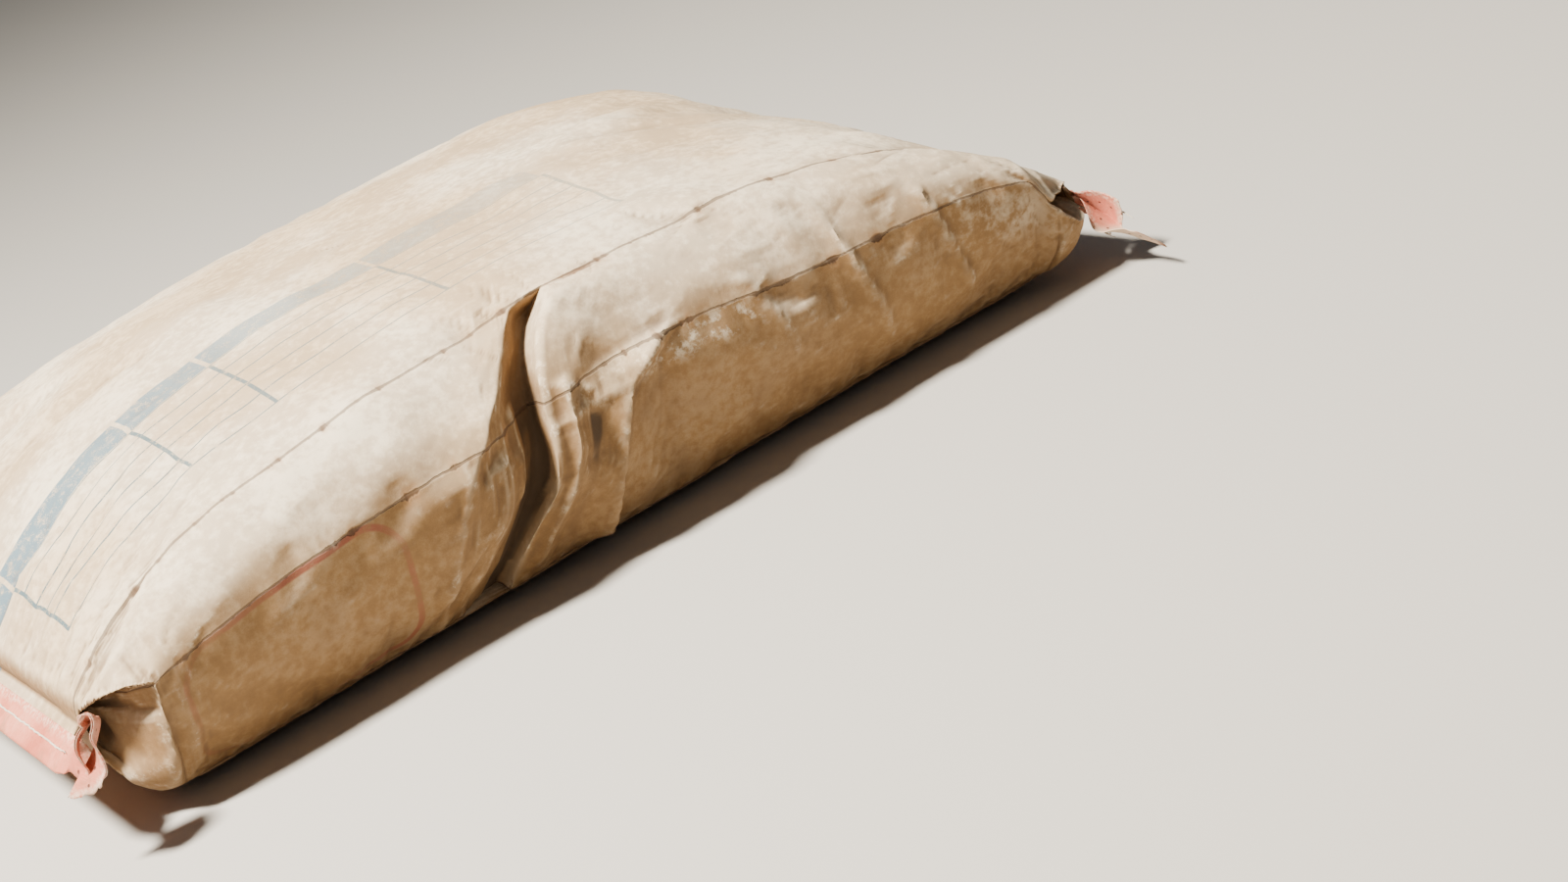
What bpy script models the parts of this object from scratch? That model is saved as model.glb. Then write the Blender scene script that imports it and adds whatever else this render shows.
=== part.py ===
"""Filled paper cement sack, lying unheld on its flat underside.

A tube of strong paper with a bellows fold (a gusset) down each long side. The filled tube is
sewn flat across both ends, through a strip of crepe tape that is folded over each flat flap.
X runs along the sack's length, Y across it and Z up. The origin is the centre of the underside.
All sizes are in metres and all angles in degrees.
"""

import math

import bmesh
import bpy
import numpy as np

# Paper tube, as filled
BODY_LENGTH = 0.672
PANEL_WIDTH = 0.420
PANEL_CHORD = 0.410
GUSSET_REACH = 0.044
GUSSET_BULGE = 0.006
UPPER_FOLD_HEIGHT = 0.149
CENTRE_FOLD_HEIGHT = 0.097
LOWER_FOLD_HEIGHT = 0.009
TOP_CROWN = 0.025
UNDERSIDE_FLAT_SHARE = 0.62
UNDERSIDE_RISE_START = 0.268

# How the outline falls to the sewn ends: the powers of its curves along the sack
UPPER_FALL = {"head": (3.3, 0.92), "foot": (2.3, 0.5)}
LOWER_RISE = (26.0, 0.5)
UNDERSIDE_RISE = (3.0, 0.5)
CROWN_FALL = 5.0
PANEL_WIDENING = 4.0
GUSSET_END_SHARE = 0.75

# Fill heaped a little towards the far corner of the head end
HEAP_HEIGHT = 0.0175
HEAP_X = 0.215
HEAP_Y = 0.110
HEAP_RADIUS = 0.120

# Sewn ends: the head is at +X and the foot at -X
SEAM_HEIGHTS = {"head": 0.052, "foot": 0.066}
FLAP_DROOPS = {"head": 60.0, "foot": 34.0}
FLAP_LENGTH = 0.024
FLAP_THICKNESS = 0.003
FLAP_ROOT_BLEND = 0.004

# Pocket where each gusset tucks in between the panels, next to a sewn end, over a lobe of the fill
POCKET_LENGTHS = {"head": 0.034, "foot": 0.046}
POCKET_LOBES = {"head": 0.034, "foot": 0.018}
POCKET_DEPTH = 0.060
POCKET_END_WALL = 0.006
POCKET_ROWS = (0.0, 0.36, 0.70, 1.0)

# Buckle across the near gusset: a deep groove that slants down towards the foot, with a raised
# lip on its head side and a second, blunt fold beyond that on the gusset's lower leg. Each row of
# the cage there has its distance from the groove, the share of the slant that it takes, and how
# far the paper stands out on it for either fold.
BUCKLE_X = -0.016
BUCKLE_SLANT = 0.100
BUCKLE_ROWS = (
    (-0.100, 0.5, 0.0, 0.0), (-0.062, 1.0, 0.0, 0.0), (-0.034, 1.0, 0.002, 0.0), (-0.018, 1.0, 0.001, 0.0),
    (-0.007, 1.0, -0.016, 0.0), (0.002, 1.0, -0.022, 0.0), (0.008, 1.0, 0.004, 0.0), (0.018, 1.0, 0.006, 0.0),
    (0.038, 1.0, 0.002, 0.002), (0.058, 1.0, 0.0, 0.012), (0.078, 1.0, 0.0, 0.0),
)
GROOVE_SHARES = (0.35, 0.66, 1.0, 1.0, 0.5)
SECOND_FOLD_SHARES = (0.0, 0.9, 1.0, 0.0, 0.0)

# Crepe tape folded over each flap
TAPE_LEG = 0.0185
TAPE_THICKNESS = 0.0009
TAPE_CLEARANCE = 0.0005

# Loose tails of the tapes beyond the sack's corners. Each has its length, the angle that each of
# its two legs swings out by from halfway on, and the directions of the tail and of its width at
# even steps to the tip. The width runs from the folded edge to the open one. Each tail sets out
# straight along Y for a small share of its length.
TAILS = {
    "head_near": (
        0.082, 44.0,
        ((-0.24, -0.86, -0.40), (0.05, -0.98, -0.18), (-0.02, -0.95, -0.30)),
        ((-0.42, 0.15, 0.80), (0.0, -0.30, 0.80), (0.06, -0.38, 0.80)),
    ),
    "head_far": (
        0.030, 6.0,
        ((0.05, 0.99, -0.05), (0.10, 0.98, -0.12)),
        ((-0.52, 0.0, 0.85), (-0.60, 0.0, 0.80)),
    ),
    "foot_near": (
        0.092, 6.0,
        ((0.58, -0.24, 0.77), (0.80, -0.24, 0.56), (-0.64, -0.10, -0.76), (-0.84, -0.03, -0.55), (-0.80, 0.0, -0.60)),
        ((0.30, -0.90, 0.10), (-0.40, -0.85, 0.30), (-0.40, -0.85, 0.30), (0.10, -0.96, -0.20), (0.40, -0.76, -0.52)),
    ),
    "foot_far": (
        0.018, 4.0,
        ((-0.03, 0.99, -0.03), (-0.05, 0.99, -0.06)),
        ((0.80, 0.0, 0.60), (0.78, 0.0, 0.62)),
    ),
}

# Sewing thread
THREAD_DIAMETER = 0.0014
THREAD_CLEARANCE = 0.0006
THREAD_INSET = 0.009

# The share of each tail that the threads still run along
THREAD_REACH = {"head_near": 0.5, "head_far": 1.0, "foot_near": 0.05, "foot_far": 1.0}

# Resolution of the shapes
PANEL_COLUMNS = (-1.0, -0.90, -0.76, -0.55, -0.28, 0.0, 0.28, 0.55, 0.76, 0.90, 1.0)
BODY_STATIONS = (0.0, 0.12, 0.24, 0.36, 0.48, 0.60, 0.70, 0.79)
ROW_GAP = 0.012
FOLD_CREASE = 1.0
SHARP_ANGLE = 40.0
TAPE_FOLD_POINTS = 5
TAIL_STEPS = 40
TAIL_STRAIGHT_SHARE = 0.05

MATERIALS = {
    "kraft_paper": ((0.62, 0.46, 0.29, 1.0), 0.82),
    "crepe_tape": ((0.80, 0.36, 0.31, 1.0), 0.78),
    "thread": ((0.86, 0.83, 0.76, 1.0), 0.70),
}


def clear_scene():
    for item in list(bpy.data.objects):
        bpy.data.objects.remove(item, do_unlink=True)


def make_collection(name):
    group = bpy.data.collections.new(name)
    bpy.context.scene.collection.children.link(group)
    return group


def make_material(name):
    colour, roughness = MATERIALS[name]
    material = bpy.data.materials.new(name)
    material.use_nodes = True
    shader = material.node_tree.nodes["Principled BSDF"]
    shader.inputs["Base Color"].default_value = colour
    shader.inputs["Roughness"].default_value = roughness
    shader.inputs["Metallic"].default_value = 0.0
    return material


def smoothstep(value):
    """0 below 0, 1 above 1, with level ends between."""
    part = np.clip(value, 0.0, 1.0)
    return part * part * (3.0 - 2.0 * part)


def unit(vector):
    return vector / np.linalg.norm(vector, axis=-1, keepdims=True)


def end_of(station):
    return "head" if station >= 0.0 else "foot"


def side_of(end):
    return 1.0 if end == "head" else -1.0


def upper_fold_height(station):
    """Height of the upper fold at a station that runs from -1 at the foot to 1 at the head."""
    seam = SEAM_HEIGHTS[end_of(station)]
    inner, outer = UPPER_FALL[end_of(station)]
    fall = (1.0 - abs(station) ** inner) ** outer
    return seam + (UPPER_FOLD_HEIGHT - seam) * fall


def lower_fold_height(station):
    """The lower fold stays low until close to the end, then curves up steeply."""
    rise = 1.0 - (1.0 - abs(station) ** LOWER_RISE[0]) ** LOWER_RISE[1]
    return LOWER_FOLD_HEIGHT + (SEAM_HEIGHTS[end_of(station)] - LOWER_FOLD_HEIGHT) * rise


def underside_height(station):
    """The underside's centre line is flat on the ground, then rises to the flap's root."""
    start = UNDERSIDE_RISE_START / (0.5 * BODY_LENGTH)
    part = np.clip((abs(station) - start) / (1.0 - start), 0.0, 1.0)
    rise = 1.0 - (1.0 - part ** UNDERSIDE_RISE[0]) ** UNDERSIDE_RISE[1]
    return SEAM_HEIGHTS[end_of(station)] * rise


def pocket_part(station):
    """How far into its end's pocket a station lies, from 0 at its mouth to 1 at its end wall."""
    length = POCKET_LENGTHS[end_of(station)]
    inside = (abs(station) - 1.0) * 0.5 * BODY_LENGTH + length
    return float(np.clip(inside / (length - POCKET_END_WALL), 0.0, 1.0))


def body_section(station):
    """Closed outline (y, z) of the filled tube at a station, as one row of the cage.

    The order is the top panel from -Y to +Y, the gusset at +Y going down, the underside from
    +Y to -Y, and the gusset at -Y going up.
    """
    flat = station ** PANEL_WIDENING
    half_panel = 0.5 * (PANEL_CHORD + (PANEL_WIDTH - PANEL_CHORD) * flat)
    upper = upper_fold_height(station)
    lower = lower_fold_height(station)
    seam = SEAM_HEIGHTS[end_of(station)]
    middle = CENTRE_FOLD_HEIGHT + (seam - CENTRE_FOLD_HEIGHT) * flat
    crown = TOP_CROWN * (1.0 - abs(station) ** CROWN_FALL)
    ground = underside_height(station)
    part = pocket_part(station)
    tuck = 1.0 - (1.0 - smoothstep(part ** 0.7)) ** 1.6
    lobe = POCKET_LOBES[end_of(station)] * math.sin(math.pi * part ** 0.8) ** 0.8
    out = GUSSET_REACH * (1.0 - (1.0 - GUSSET_END_SHARE) * flat)
    centre_fold = half_panel + out * (1.0 - tuck) - POCKET_DEPTH * tuck
    bulge = GUSSET_BULGE * (1.0 - tuck)

    columns = np.array(PANEL_COLUMNS)
    top = np.stack([half_panel * columns, upper + crown * (1.0 - columns ** 2.0)], axis=1)
    spare = 1.0 - UNDERSIDE_FLAT_SHARE
    edge = np.clip((np.abs(columns) - UNDERSIDE_FLAT_SHARE) / spare, 0.0, 1.0)
    base = ground + (max(lower, ground) - ground) * (1.0 - np.sqrt(1.0 - edge ** 2.0))
    bottom = np.stack([half_panel * columns, base], axis=1)[::-1]
    side = np.array([
        [0.5 * (half_panel + centre_fold) + bulge, 0.5 * (upper + middle) + bulge],
        [centre_fold, middle],
        [0.5 * (half_panel + centre_fold) + bulge + lobe, 0.5 * (bottom[0, 1] + middle) - bulge],
    ])
    other_side = side[::-1] * np.array([-1.0, 1.0])
    return np.vstack([top, side, bottom, other_side])


def flap_section():
    """Closed outline (y, offset) of the flat flap, with as many points as a body section."""
    columns = np.array(PANEL_COLUMNS)
    half = 0.5 * PANEL_WIDTH
    thick = 0.5 * FLAP_THICKNESS
    top = np.stack([half * columns, np.full(len(columns), thick)], axis=1)
    bottom = np.stack([half * columns, np.full(len(columns), -thick)], axis=1)[::-1]
    side = np.array([[half, 0.5 * thick], [half, 0.0], [half, -0.5 * thick]])
    other_side = side[::-1] * np.array([-1.0, 1.0])
    return np.vstack([top, side, bottom, other_side])


def flap_points(end, distance, y, offset):
    """Points at a distance out from the flap's root and an offset from its mid-plane."""
    droop = math.radians(FLAP_DROOPS[end])
    points = np.empty((len(y), 3))
    points[:, 0] = 0.5 * BODY_LENGTH + distance * math.cos(droop) + offset * math.sin(droop)
    points[:, 1] = y
    points[:, 2] = SEAM_HEIGHTS[end] - distance * math.sin(droop) + offset * math.cos(droop)
    points[:, 0] *= side_of(end)
    return points


def heap_up(points):
    """Lifts the top where the fill has heaped up: a round hill that fades towards the ground."""
    x, y, z = points[:, 0], points[:, 1], points[:, 2]
    away = ((x - HEAP_X) ** 2.0 + (y - HEAP_Y) ** 2.0) / HEAP_RADIUS ** 2.0
    share = smoothstep((z - CENTRE_FOLD_HEIGHT) / (UPPER_FOLD_HEIGHT - CENTRE_FOLD_HEIGHT))
    points[:, 2] = z + HEAP_HEIGHT * np.exp(-away) * share
    return points


def near_columns(count):
    """The columns of the near gusset, from the lower fold up to the upper fold."""
    return [count - 4, count - 3, count - 2, count - 1, 0]


def press_buckle(points, distance, slant, groove, second):
    """Slants a row to lie at a distance from the buckle's groove, and presses its paper in or out.

    The row's near side shifts along X to the slanting line, less and less across the top and the
    underside. Its near columns move out from the fill's middle by their shares of both folds.
    """
    y, z = points[:, 1], points[:, 2]
    high = np.minimum(z / UPPER_FOLD_HEIGHT, 1.0)
    line = BUCKLE_X - BUCKLE_SLANT * (1.0 - high)
    middle = BUCKLE_X - 0.5 * BUCKLE_SLANT
    near = smoothstep((-y / (0.5 * PANEL_CHORD) - 0.35) / 0.65)
    points[:, 0] = middle + distance + (line - middle) * near * slant
    for column, first, other in zip(near_columns(len(points)), GROOVE_SHARES, SECOND_FOLD_SHARES):
        out = unit(np.array([y[column], 0.9 * (z[column] - 0.5 * (UPPER_FOLD_HEIGHT + LOWER_FOLD_HEIGHT))]))
        points[column, 1:] += out * (groove * first + second * other)
    return points


def sack_rows():
    """Rows of cage points from the foot flap's edge to the head flap's edge."""
    half = 0.5 * BODY_LENGTH
    middle = BUCKLE_X - 0.5 * BUCKLE_SLANT
    first = middle + BUCKLE_ROWS[0][0] - 0.5 * BUCKLE_SLANT * BUCKLE_ROWS[0][1]
    last = middle + BUCKLE_ROWS[-1][0] + 0.5 * BUCKLE_SLANT * BUCKLE_ROWS[-1][1]
    regular = {side * reach * half for side in (-1.0, 1.0) for reach in BODY_STATIONS}
    places = [(x, None) for x in regular if not first - ROW_GAP < x < last + ROW_GAP]
    for end in ("head", "foot"):
        deep = POCKET_LENGTHS[end] - POCKET_END_WALL
        places += [(side_of(end) * (half - POCKET_LENGTHS[end] + part * deep), None) for part in POCKET_ROWS]
    places += [(middle + row[0], row) for row in BUCKLE_ROWS]
    rows = []
    for x, buckle in sorted(places, key=lambda place: place[0]):
        outline = body_section(x / half)
        points = np.column_stack([np.full(len(outline), x), outline])
        if buckle is not None:
            points = press_buckle(points, *buckle)
        rows.append(heap_up(points))
    flap = flap_section()
    for distance in (0.0, FLAP_ROOT_BLEND, FLAP_LENGTH):
        for end in ("head", "foot"):
            row = flap_points(end, distance, flap[:, 0], flap[:, 1])
            rows.insert(len(rows) if end == "head" else 0, row)
    return np.array(rows)


def cap_faces(count, start):
    """Faces that close a flap's edge, between the outline's top and bottom points."""
    wide = len(PANEL_COLUMNS)
    side = (count - 2 * wide) // 2
    last = 2 * wide + side - 1
    faces = []
    for column in range(wide - 1):
        faces.append([column, column + 1, last - column - 1, last - column])
    faces.append(list(range(wide - 1, wide + side + 1)))
    faces.append(list(range(last, count)) + [0])
    return [[start + corner for corner in face] for face in faces]


def make_sack(group):
    rows = sack_rows()
    length, count, _ = rows.shape
    mesh = bpy.data.meshes.new("sack")
    faces = []
    for row in range(length - 1):
        for column in range(count):
            after = (column + 1) % count
            faces.append([row * count + column, (row + 1) * count + column,
                          (row + 1) * count + after, row * count + after])
    faces += cap_faces(count, 0)
    faces += [face[::-1] for face in cap_faces(count, (length - 1) * count)]
    mesh.from_pydata(rows.reshape(-1, 3).tolist(), [], faces)

    wide = len(PANEL_COLUMNS)
    side = (count - 2 * wide) // 2
    folds = {0, wide - 1, wide + side // 2, wide + side, 2 * wide + side - 1}
    folds.add(2 * wide + side + side // 2)
    build = bmesh.new()
    build.from_mesh(mesh)
    crease = build.edges.layers.float.new("crease_edge")
    for edge in build.edges:
        row_a, column_a = divmod(edge.verts[0].index, count)
        row_b, column_b = divmod(edge.verts[1].index, count)
        along_fold = column_a == column_b and column_a in folds
        neighbours = (column_a - column_b) % count in (1, count - 1)
        flap_edge = row_a == row_b and row_a in (0, length - 1) and neighbours
        if along_fold or flap_edge:
            edge[crease] = FOLD_CREASE
    build.to_mesh(mesh)
    build.free()

    sack = bpy.data.objects.new("sack", mesh)
    group.objects.link(sack)
    soften = sack.modifiers.new("soften", "SUBSURF")
    soften.levels = 1
    soften.render_levels = 1
    mesh.materials.append(make_material("kraft_paper"))
    mesh.shade_smooth()
    mesh.set_sharp_from_angle(angle=math.radians(SHARP_ANGLE))
    return sack


def tail_frames(tail, corner_width):
    """Frames along a tail, root to tip: fold-edge path, tape direction, width and leg swing.

    The tail's direction and width pass smoothly from the corner's to the ones named for it, and
    its fold edge is the running sum of the directions.
    """
    length, spread, directions, widths = TAILS[tail]
    side = -1.0 if tail.endswith("near") else 1.0
    directions = np.array([(0.0, side, 0.0), *directions])
    widths = np.array([corner_width, *widths])
    share = np.linspace(0.0, 1.0, TAIL_STEPS + 1)
    bent = np.maximum(share - TAIL_STRAIGHT_SHARE, 0.0) / (1.0 - TAIL_STRAIGHT_SHARE)
    last = len(widths) - 1
    weights = smoothstep(1.0 - np.abs(last * bent[:, None] - np.arange(last + 1)))
    direction = unit(weights @ directions)
    width = weights @ widths
    width = unit(width - direction * np.sum(width * direction, axis=1, keepdims=True))
    steps = 0.5 * (direction[1:] + direction[:-1]) * (length / TAIL_STEPS)
    path = np.vstack([np.zeros((1, 3)), np.cumsum(steps, axis=0)])
    return path, direction * side, width, math.radians(spread) * smoothstep(2.0 * share)


def tape_frames(end):
    """Frames along a whole tape, from its far tail's tip to its near tail's tip."""
    seam_y = 0.5 * PANEL_WIDTH * np.array(PANEL_COLUMNS)[::-1]
    edge = flap_points(end, FLAP_LENGTH + 2.0 * TAPE_CLEARANCE, seam_y, 0.0)
    across = unit(flap_points(end, 0.0, seam_y, 0.0) - edge)
    far = tail_frames(end + "_far", across[0])
    near = tail_frames(end + "_near", across[-1])
    path = np.vstack([far[0][:0:-1] + edge[0], edge, near[0][1:] + edge[-1]])
    along = np.vstack([far[1][:0:-1], np.tile([0.0, 1.0, 0.0], (len(edge), 1)), near[1][1:]])
    width = np.vstack([far[2][:0:-1], across, near[2][1:]])
    spread = np.concatenate([far[3][:0:-1], np.zeros(len(edge)), near[3][1:]])
    normal = np.cross(along, width) * side_of(end)
    return path, width, normal, spread


def tape_point(frames, inset, offset, side):
    """Points on a leg of the tape, inset from its fold edge and offset from its own plane."""
    path, width, normal, spread = frames
    cos, sin = np.cos(spread)[:, None], np.sin(spread)[:, None] * side
    return path + (width * cos + normal * sin) * inset + (normal * cos * side - width * sin * side) * offset


def make_tape(group, end):
    """A strip folded over the flap's edge: two legs joined by a half-round fold."""
    frames = tape_frames(end)
    radius = 0.5 * FLAP_THICKNESS + TAPE_CLEARANCE + 0.5 * TAPE_THICKNESS
    path, width, normal, spread = frames
    columns = [tape_point(frames, inset, radius, 1.0) for inset in (TAPE_LEG, THREAD_INSET)]
    for turn in np.linspace(1.0, -1.0, TAPE_FOLD_POINTS):
        angle = turn * (0.5 * math.pi - spread[:, None])
        columns.append(path - width * radius * np.cos(angle) + normal * radius * np.sin(angle))
    columns += [tape_point(frames, inset, radius, -1.0) for inset in (THREAD_INSET, TAPE_LEG)]
    grid = np.array(columns).transpose(1, 0, 2)
    rows, count, _ = grid.shape
    faces = []
    for row in range(rows - 1):
        for column in range(count - 1):
            start = row * count + column
            faces.append([start, start + 1, start + count + 1, start + count])
    mesh = bpy.data.meshes.new(end + "_tape")
    mesh.from_pydata(grid.reshape(-1, 3).tolist(), [], faces)
    mesh.materials.append(make_material("crepe_tape"))
    tape = bpy.data.objects.new(end + "_tape", mesh)
    group.objects.link(tape)
    wall = tape.modifiers.new("thickness", "SOLIDIFY")
    wall.thickness = TAPE_THICKNESS
    wall.offset = 0.0
    wall.use_even_offset = True
    return tape


def make_thread(group, end, name, side):
    """A run of sewing thread lying along one face of the tape, out to a share of each tail."""
    offset = 0.5 * FLAP_THICKNESS + TAPE_CLEARANCE + TAPE_THICKNESS
    offset += THREAD_CLEARANCE + 0.5 * THREAD_DIAMETER
    points = tape_point(tape_frames(end), THREAD_INSET, offset, side)
    first = round((1.0 - THREAD_REACH[end + "_far"]) * TAIL_STEPS)
    last = round((1.0 - THREAD_REACH[end + "_near"]) * TAIL_STEPS)
    points = points[first:len(points) - last]
    curve = bpy.data.curves.new(end + name, "CURVE")
    curve.dimensions = "3D"
    curve.bevel_depth = 0.5 * THREAD_DIAMETER
    curve.bevel_resolution = 2
    curve.use_fill_caps = True
    spline = curve.splines.new("POLY")
    spline.points.add(len(points) - 1)
    for target, point in zip(spline.points, points):
        target.co = (*point, 1.0)
    curve.materials.append(make_material("thread"))
    thread = bpy.data.objects.new(end + name, curve)
    group.objects.link(thread)
    return thread


def main():
    clear_scene()
    group = make_collection("cement_sack")
    make_sack(group)
    for end in ("head", "foot"):
        make_tape(group, end)
        make_thread(group, end, "_needle_thread", 1.0)
        make_thread(group, end, "_looper_thread", -1.0)


main()
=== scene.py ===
"""Looks of a filled paper cement sack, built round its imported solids.

The sack lies on its flat underside, with its length along X and its head at +X. The gusset with
the deep buckle faces -Y. Every surface is worked out on a grid of two parameters, as whole arrays.
Sizes are in metres and angles in degrees, but for the tables that are given in millimetres.
"""

from functools import reduce
from math import cos, hypot, pi, radians, sin, sqrt

import bpy
import numpy as np
from mathutils import Matrix


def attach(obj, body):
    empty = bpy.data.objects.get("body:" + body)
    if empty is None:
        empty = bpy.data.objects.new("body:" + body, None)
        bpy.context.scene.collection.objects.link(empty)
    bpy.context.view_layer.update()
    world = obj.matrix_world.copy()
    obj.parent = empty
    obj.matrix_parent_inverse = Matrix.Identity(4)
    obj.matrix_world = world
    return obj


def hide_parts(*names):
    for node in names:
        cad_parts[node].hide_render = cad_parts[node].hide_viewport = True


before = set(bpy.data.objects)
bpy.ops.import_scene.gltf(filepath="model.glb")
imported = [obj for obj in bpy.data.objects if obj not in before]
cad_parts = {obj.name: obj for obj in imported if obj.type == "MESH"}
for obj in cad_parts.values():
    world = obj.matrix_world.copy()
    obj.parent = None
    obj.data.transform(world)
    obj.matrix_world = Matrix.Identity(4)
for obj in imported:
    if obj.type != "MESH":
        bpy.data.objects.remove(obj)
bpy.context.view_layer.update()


def in_metres(*rows):
    """A table that is given in millimetres."""
    return np.array(rows, float) / 1000


# Paper tube, as filled
HALF_LENGTH = 0.336
PANEL_WIDTH = 0.42
PANEL_CHORD = 0.41
GUSSET_REACH = 0.044
GUSSET_BULGE = 0.006
UPPER_FOLD_HEIGHT = 0.149
CENTRE_FOLD_HEIGHT = 0.097
LOWER_FOLD_HEIGHT = 0.009
TOP_CROWN = 0.025
UNDERSIDE_FLAT_SHARE = 0.62
UNDERSIDE_RISE_START = 0.268

# The hill of fill, by its x, y, radius and height
HEAP = (0.215, 0.11, 0.12, 0.0175)
# Beside the buckle the near folds stand higher: by x, reach, height, and the height at the foot
CENTRE_FOLD_SHIFT = (0.015, 0.095, 0.0135, 0.0035)
UPPER_FOLD_RISE = (0.008, 0.075, 0.0055)
# The near centre fold's dip at the head, by its start, its easing in and out, and its depth
HEAD_DIP = (0.287, 0.014, 0.02, 0.017)

# Sewn ends
SIDES = {"head": 1, "foot": -1}
FALL_POWERS = {"head": (3.3, 0.92), "foot": (2.3, 0.5)}
SEAM_HEIGHTS = {"head": 0.052, "foot": 0.066}
FLAP_DROOPS = {"head": 60, "foot": 34}
FLAP_LENGTH = 0.024
FLAP_ROWS = 11
FLAP_THICKNESS = 0.0026
POCKET_LENGTHS = {"head": 0.034, "foot": 0.046}
POCKET_LOBES = {"head": 0.034, "foot": 0.018}
POCKET_DEPTH = 0.06
POCKET_END_WALL = 0.006

# How high each panel lies in a flap's thickness, where the panel starts and where it ends
FLAP_LEVELS = np.array([(1, 1), (1, 0.5), (0.5, 0), (0, 0), (0, 0.5), (0.5, 1)])

# The near gusset's pockets: how far from the seam each starts on the centre fold, and the powers
# by which the crease round its mouth runs to the seam's corner, on the lower and the upper leg
NEAR_MOUTHS = {"head": (0.04, 0.3, 0.55), "foot": (0.033, 6, 0.55)}
MOUTH_ROUNDING = 0.04

# Tapes and threads
TAPE_LEG = 0.0185
TAPE_THICKNESS = 0.0004
TAPE_CLEARANCE = 0.0007
TAPE_EDGE_GAP = 0.001
TAPE_STEP = 0.0012
LEG_COLUMNS = 14
FOLD_COLUMNS = 9
SEAM_STEPS = 200
TAIL_STEPS = 80
STITCH_INSET = 0.009
STITCH_PITCH = 0.0088
THREAD_DIAMETER = 0.0011
THREAD_PLIES = 3
THREAD_LAY = 0.0034

# Loose tails of the tapes: length, the angle that both legs swing out by from halfway on, and the
# directions of the tail and of its width, from the folded edge to the open one, at even steps to
# the tip. Each tail sets out straight along Y for a small share of its length.
TAIL_STRAIGHT_SHARE = 0.05
TAILS = {
    "head_near": (
        0.082, 44,
        ((-0.24, -0.86, -0.4), (0.05, -0.98, -0.18), (-0.02, -0.95, -0.3)),
        ((-0.42, 0.15, 0.8), (0, -0.3, 0.8), (0.06, -0.38, 0.8)),
    ),
    "head_far": (
        0.03, 6,
        ((0.05, 0.99, -0.05), (0.1, 0.98, -0.12)),
        ((-0.52, 0, 0.85), (-0.6, 0, 0.8)),
    ),
    "foot_near": (
        0.092, 0.4,
        ((0.58, -0.24, 0.77), (0.8, -0.24, 0.56), (-0.64, -0.1, -0.76), (-0.84, -0.03, -0.55),
         (-0.8, 0, -0.6)),
        ((0.3, -0.9, 0.1), (-0.4, -0.85, 0.3), (-0.4, -0.85, 0.3), (0.1, -0.96, -0.2),
         (0.4, -0.76, -0.52)),
    ),
    "foot_far": (
        0.018, 4,
        ((-0.03, 0.99, -0.03), (-0.05, 0.99, -0.06)),
        ((0.8, 0, 0.6), (0.78, 0, 0.62)),
    ),
}

# The share of its tail that each torn leg keeps, upper and lower: at its fold edge, in its middle
# and at its open edge
TORN = {
    "head_near": ((0.44, 0.42, 0.38), (0.92, 1, 0.84)),
    "head_far": ((1, 0.95, 0.9), (1, 1, 0.86)),
    "foot_near": ((1, 0.95, 0.86), (1, 0.92, 0.8)),
    "foot_far": ((1, 0.92, 0.96), (1, 0.97, 0.9)),
}

# The share of each tail that the threads still run along
THREAD_REACH = {"head_near": 0.5, "head_far": 1, "foot_near": 0.05, "foot_far": 1}

# Columns of the sack's grid, round from the near lower fold, by panel: 0 is the top, 1 and 2 the
# far gusset's upper and lower legs, 3 the underside, 4 and 5 the near gusset's lower and upper
COLUMNS = {4: 46, 5: 36, 0: 128, 1: 18, 2: 22, 3: 62}

# Steps between the grid's stations: in general, next to the ends and at the buckle
WIDE_STEP, END_STEP, BUCKLE_STEP = 0.0036, 0.0014, 0.0012
BUCKLE_STATION = -0.058

# The main buckle, as points of the unrolled paper in millimetres: along the sack, and round it
# from the near upper fold, up over the top positive and down the gusset negative
MAIN_BUCKLE = in_metres(
    (4, 40), (-9, 14), (-22, -8), (-36, -27), (-49, -49), (-56, -71), (-61, -90), (-68, -108),
    (-81, -126), (-94, -148), (-105, -172), (-111, -205),
)
# Its section, in millimetres: across it, how far out, and how far along the sack
BUCKLE_SECTION = in_metres(
    (-64, 0, 0), (-38, 0.9, 0), (-25, 2.4, 0.3), (-20, 2.4, 0.4), (-17, 0.8, 0.4), (-13, -5, 0.2),
    (-9, -11, 0), (-5, -16, 0), (-1, -19, 0), (2, -19.5, 0), (3.4, -17, 0.2), (4.4, -9, -0.6),
    (5.2, -1.5, -2.6), (6.4, 3.2, -4.6), (8.6, 4.8, -4.2), (13, 4.6, -2.4), (22, 3, -0.8),
    (38, 1, 0), (64, 0, 0),
)
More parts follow.
